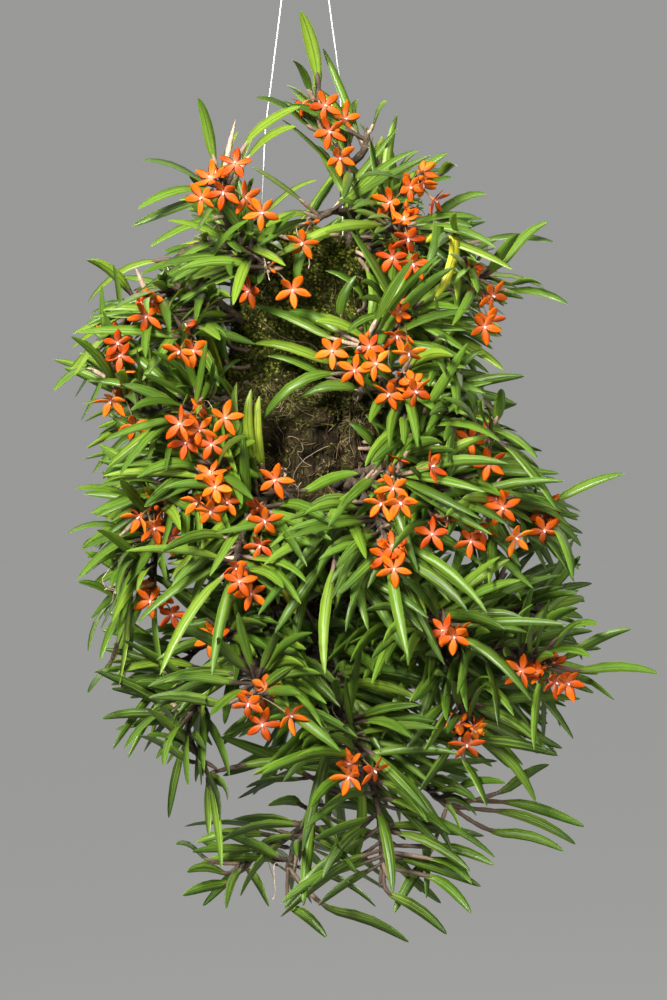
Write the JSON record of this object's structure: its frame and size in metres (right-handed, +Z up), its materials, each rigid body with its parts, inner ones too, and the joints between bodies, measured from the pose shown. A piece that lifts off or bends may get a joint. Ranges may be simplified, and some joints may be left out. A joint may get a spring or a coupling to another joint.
{
  "type": "mounted ceratostylis orchid on a hanging slab",
  "caption": "Specimen ceratostylis orchid with narrow strap leaves and orange star-shaped blooms, grown on a mossy fibrous slab that hangs on two thin wires from a hook.",
  "frame": {"origin": "the inside top of the hanger's hook, where it rests on whatever holds it", "axes": "+Z up along the hang of the plant, -Y towards the viewer (the slab's front), +X to the viewer's right"},
  "size_m": [0.5305, 0.3542, 1.0506],
  "materials": {
    "leaf_green": "semi-gloss leaf",
    "bloom_orange": "soft satin petal",
    "slab_fibre": "rough tree-fern fibre and moss",
    "zinc_wire": "galvanised wire"
  },
  "bodies": {
    "root": {"bloom_back_left_1": "bloom_orange", "bloom_back_right_1": "bloom_orange", "bloom_back_top_1": "bloom_orange", "bloom_centre_1": "bloom_orange", "bloom_centre_2": "bloom_orange", "bloom_crown_1": "bloom_orange", "bloom_crown_2": "bloom_orange", "bloom_left_front_1": "bloom_orange", "bloom_left_front_2": "bloom_orange", "bloom_left_front_3": "bloom_orange", "bloom_left_low_1": "bloom_orange", "bloom_left_low_2": "bloom_orange", "bloom_left_low_3": "bloom_orange", "bloom_left_mid_1": "bloom_orange", "bloom_left_mid_2": "bloom_orange", "bloom_left_shoulder_1": "bloom_orange", "bloom_left_shoulder_2": "bloom_orange", "bloom_left_shoulder_3": "bloom_orange", "bloom_low_centre_1": "bloom_orange", "bloom_low_left_1": "bloom_orange", "bloom_low_left_2": "bloom_orange", "bloom_low_right_1": "bloom_orange", "bloom_low_right_2": "bloom_orange", "bloom_low_right_3": "bloom_orange", "bloom_right_arm_1": "bloom_orange", "bloom_right_low_1": "bloom_orange", "bloom_right_low_2": "bloom_orange", "bloom_right_low_3": "bloom_orange", "bloom_right_mid_1": "bloom_orange", "bloom_right_mid_2": "bloom_orange", "bloom_right_shoulder_1": "bloom_orange", "bloom_right_shoulder_3": "bloom_orange", "bloom_shoulder_left_1": "bloom_orange", "bloom_shoulder_left_2": "bloom_orange", "bloom_top_right_1": "bloom_orange", "bloom_top_right_2": "bloom_orange", "hanger_hook": "zinc_wire", "hanger_leg_left": "zinc_wire", "hanger_leg_right": "zinc_wire", "mount_slab": "slab_fibre", "spray_back_left": "leaf_green", "spray_back_low": "leaf_green", "spray_back_right": "leaf_green", "spray_back_top": "leaf_green", "spray_centre": "leaf_green", "spray_crown": "leaf_green", "spray_left_front": "leaf_green", "spray_left_low": "leaf_green", "spray_left_mid": "leaf_green", "spray_left_shoulder": "leaf_green", "spray_low_centre": "leaf_green", "spray_low_left": "leaf_green", "spray_low_right": "leaf_green", "spray_right_arm": "leaf_green", "spray_right_low": "leaf_green", "spray_right_mid": "leaf_green", "spray_right_shoulder": "leaf_green", "spray_shoulder_left": "leaf_green", "spray_tails": "leaf_green", "spray_top_right": "leaf_green"}
  },
  "joints": []
}
